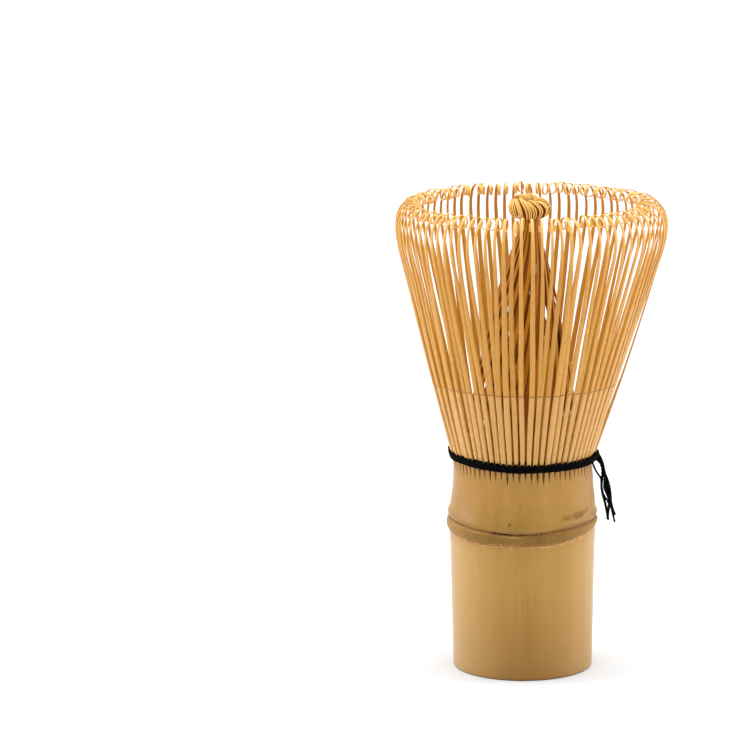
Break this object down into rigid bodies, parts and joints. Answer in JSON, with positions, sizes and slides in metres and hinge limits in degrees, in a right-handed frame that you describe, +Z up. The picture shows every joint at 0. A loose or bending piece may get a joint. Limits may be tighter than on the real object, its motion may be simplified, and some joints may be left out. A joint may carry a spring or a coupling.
{
  "type": "bamboo tea whisk",
  "caption": "Bamboo tea whisk: hollow handle with a node ridge, a flared crown of springy curled tines round a twisted inner cone, and a black thread woven round the roots.",
  "frame": {"origin": "centre of the handle's foot, on the plane it stands on", "axes": "+Z up the handle towards the tines; +X towards the side the crown leans to, where the thread ends hang; -Y towards the viewer"},
  "size_m": [0.0627, 0.0628, 0.1105],
  "materials": {
    "handle_bamboo": "satin, waxy bamboo skin with fine upright grain",
    "outer_bamboo": "satin, shaved bamboo",
    "inner_bamboo": "matte, shaved bamboo",
    "black_thread": "matte twisted cotton"
  },
  "bodies": {
    "whisk_core": {"handle_culm": "handle_bamboo", "inner_tines_01": "inner_bamboo", "inner_tines_02": "inner_bamboo", "inner_tines_03": "inner_bamboo", "inner_tines_04": "inner_bamboo", "inner_tines_05": "inner_bamboo", "inner_tines_06": "inner_bamboo", "inner_tines_07": "inner_bamboo", "inner_tines_08": "inner_bamboo", "inner_tines_09": "inner_bamboo", "inner_tines_10": "inner_bamboo", "inner_tines_11": "inner_bamboo", "inner_tines_12": "inner_bamboo", "thread_weave": "black_thread", "thread_turn_lower": "black_thread", "thread_turn_middle": "black_thread", "thread_turn_upper": "black_thread", "thread_knot": "black_thread"},
    "outer_group_01": {"outer_tines_01": "outer_bamboo"},
    "outer_group_02": {"outer_tines_02": "outer_bamboo"},
    "outer_group_03": {"outer_tines_03": "outer_bamboo"},
    "outer_group_04": {"outer_tines_04": "outer_bamboo"},
    "outer_group_05": {"outer_tines_05": "outer_bamboo"},
    "outer_group_06": {"outer_tines_06": "outer_bamboo"},
    "outer_group_07": {"outer_tines_07": "outer_bamboo"},
    "outer_group_08": {"outer_tines_08": "outer_bamboo"},
    "outer_group_09": {"outer_tines_09": "outer_bamboo"},
    "outer_group_10": {"outer_tines_10": "outer_bamboo"},
    "outer_group_11": {"outer_tines_11": "outer_bamboo"},
    "outer_group_12": {"outer_tines_12": "outer_bamboo"},
    "outer_group_13": {"outer_tines_13": "outer_bamboo"},
    "outer_group_14": {"outer_tines_14": "outer_bamboo"},
    "outer_group_15": {"outer_tines_15": "outer_bamboo"},
    "outer_group_16": {"outer_tines_16": "outer_bamboo"},
    "outer_group_17": {"outer_tines_17": "outer_bamboo"},
    "outer_group_18": {"outer_tines_18": "outer_bamboo"},
    "outer_group_19": {"outer_tines_19": "outer_bamboo"},
    "outer_group_20": {"outer_tines_20": "outer_bamboo"},
    "outer_group_21": {"outer_tines_21": "outer_bamboo"},
    "outer_group_22": {"outer_tines_22": "outer_bamboo"},
    "outer_group_23": {"outer_tines_23": "outer_bamboo"},
    "outer_group_24": {"outer_tines_24": "outer_bamboo"},
    "thread_tails": {"thread_tail_long": "black_thread", "thread_tail_short": "black_thread"}
  },
  "joints": [
    {"name": "tine_flex_01", "type": "hinge", "parent": "whisk_core", "child": "outer_group_01", "pos_m": [0.01594, 0.00139, 0.0496], "axis": [-0.0872, 0.9962, 0], "range_deg": [-4, 4], "stiffness_Nm_per_rad": 0.012},
    {"name": "tine_flex_02", "type": "hinge", "parent": "whisk_core", "child": "outer_group_02", "pos_m": [0.01503, 0.00547, 0.0496], "axis": [-0.342, 0.9397, 0], "range_deg": [-4, 4], "stiffness_Nm_per_rad": 0.012},
    {"name": "tine_flex_03", "type": "hinge", "parent": "whisk_core", "child": "outer_group_03", "pos_m": [0.01311, 0.00918, 0.0496], "axis": [-0.5736, 0.8192, 0], "range_deg": [-4, 4], "stiffness_Nm_per_rad": 0.012},
    {"name": "tine_flex_04", "type": "hinge", "parent": "whisk_core", "child": "outer_group_04", "pos_m": [0.01029, 0.01226, 0.0496], "axis": [-0.766, 0.6428, 0], "range_deg": [-4, 4], "stiffness_Nm_per_rad": 0.012},
    {"name": "tine_flex_05", "type": "hinge", "parent": "whisk_core", "child": "outer_group_05", "pos_m": [0.00676, 0.0145, 0.0496], "axis": [-0.9063, 0.4226, 0], "range_deg": [-4, 4], "stiffness_Nm_per_rad": 0.012},
    {"name": "tine_flex_06", "type": "hinge", "parent": "whisk_core", "child": "outer_group_06", "pos_m": [0.00278, 0.01576, 0.0496], "axis": [-0.9848, 0.1736, 0], "range_deg": [-4, 4], "stiffness_Nm_per_rad": 0.012},
    {"name": "tine_flex_07", "type": "hinge", "parent": "whisk_core", "child": "outer_group_07", "pos_m": [-0.00139, 0.01594, 0.0496], "axis": [-0.9962, -0.0872, 0], "range_deg": [-4, 4], "stiffness_Nm_per_rad": 0.012},
    {"name": "tine_flex_08", "type": "hinge", "parent": "whisk_core", "child": "outer_group_08", "pos_m": [-0.00547, 0.01503, 0.0496], "axis": [-0.9397, -0.342, 0], "range_deg": [-4, 4], "stiffness_Nm_per_rad": 0.012},
    {"name": "tine_flex_09", "type": "hinge", "parent": "whisk_core", "child": "outer_group_09", "pos_m": [-0.00918, 0.01311, 0.0496], "axis": [-0.8192, -0.5736, 0], "range_deg": [-4, 4], "stiffness_Nm_per_rad": 0.012},
    {"name": "tine_flex_10", "type": "hinge", "parent": "whisk_core", "child": "outer_group_10", "pos_m": [-0.01226, 0.01029, 0.0496], "axis": [-0.6428, -0.766, 0], "range_deg": [-4, 4], "stiffness_Nm_per_rad": 0.012},
    {"name": "tine_flex_11", "type": "hinge", "parent": "whisk_core", "child": "outer_group_11", "pos_m": [-0.0145, 0.00676, 0.0496], "axis": [-0.4226, -0.9063, 0], "range_deg": [-4, 4], "stiffness_Nm_per_rad": 0.012},
    {"name": "tine_flex_12", "type": "hinge", "parent": "whisk_core", "child": "outer_group_12", "pos_m": [-0.01576, 0.00278, 0.0496], "axis": [-0.1736, -0.9848, 0], "range_deg": [-4, 4], "stiffness_Nm_per_rad": 0.012},
    {"name": "tine_flex_13", "type": "hinge", "parent": "whisk_core", "child": "outer_group_13", "pos_m": [-0.01594, -0.00139, 0.0496], "axis": [0.0872, -0.9962, 0], "range_deg": [-4, 4], "stiffness_Nm_per_rad": 0.012},
    {"name": "tine_flex_14", "type": "hinge", "parent": "whisk_core", "child": "outer_group_14", "pos_m": [-0.01503, -0.00547, 0.0496], "axis": [0.342, -0.9397, 0], "range_deg": [-4, 4], "stiffness_Nm_per_rad": 0.012},
    {"name": "tine_flex_15", "type": "hinge", "parent": "whisk_core", "child": "outer_group_15", "pos_m": [-0.01311, -0.00918, 0.0496], "axis": [0.5736, -0.8192, 0], "range_deg": [-4, 4], "stiffness_Nm_per_rad": 0.012},
    {"name": "tine_flex_16", "type": "hinge", "parent": "whisk_core", "child": "outer_group_16", "pos_m": [-0.01029, -0.01226, 0.0496], "axis": [0.766, -0.6428, 0], "range_deg": [-4, 4], "stiffness_Nm_per_rad": 0.012},
    {"name": "tine_flex_17", "type": "hinge", "parent": "whisk_core", "child": "outer_group_17", "pos_m": [-0.00676, -0.0145, 0.0496], "axis": [0.9063, -0.4226, 0], "range_deg": [-4, 4], "stiffness_Nm_per_rad": 0.012},
    {"name": "tine_flex_18", "type": "hinge", "parent": "whisk_core", "child": "outer_group_18", "pos_m": [-0.00278, -0.01576, 0.0496], "axis": [0.9848, -0.1736, 0], "range_deg": [-4, 4], "stiffness_Nm_per_rad": 0.012},
    {"name": "tine_flex_19", "type": "hinge", "parent": "whisk_core", "child": "outer_group_19", "pos_m": [0.00139, -0.01594, 0.0496], "axis": [0.9962, 0.0872, 0], "range_deg": [-4, 4], "stiffness_Nm_per_rad": 0.012},
    {"name": "tine_flex_20", "type": "hinge", "parent": "whisk_core", "child": "outer_group_20", "pos_m": [0.00547, -0.01503, 0.0496], "axis": [0.9397, 0.342, 0], "range_deg": [-4, 4], "stiffness_Nm_per_rad": 0.012},
    {"name": "tine_flex_21", "type": "hinge", "parent": "whisk_core", "child": "outer_group_21", "pos_m": [0.00918, -0.01311, 0.0496], "axis": [0.8192, 0.5736, 0], "range_deg": [-4, 4], "stiffness_Nm_per_rad": 0.012},
    {"name": "tine_flex_22", "type": "hinge", "parent": "whisk_core", "child": "outer_group_22", "pos_m": [0.01226, -0.01029, 0.0496], "axis": [0.6428, 0.766, 0], "range_deg": [-4, 4], "stiffness_Nm_per_rad": 0.012},
    {"name": "tine_flex_23", "type": "hinge", "parent": "whisk_core", "child": "outer_group_23", "pos_m": [0.0145, -0.00676, 0.0496], "axis": [0.4226, 0.9063, 0], "range_deg": [-4, 4], "stiffness_Nm_per_rad": 0.012},
    {"name": "tine_flex_24", "type": "hinge", "parent": "whisk_core", "child": "outer_group_24", "pos_m": [0.01576, -0.00278, 0.0496], "axis": [0.1736, 0.9848, 0], "range_deg": [-4, 4], "stiffness_Nm_per_rad": 0.012},
    {"name": "tail_swing", "type": "hinge", "parent": "whisk_core", "child": "thread_tails", "pos_m": [0.0182, 0.0012, 0.0491], "axis": [0, 1, 0], "range_deg": [-35, 6]}
  ]
}
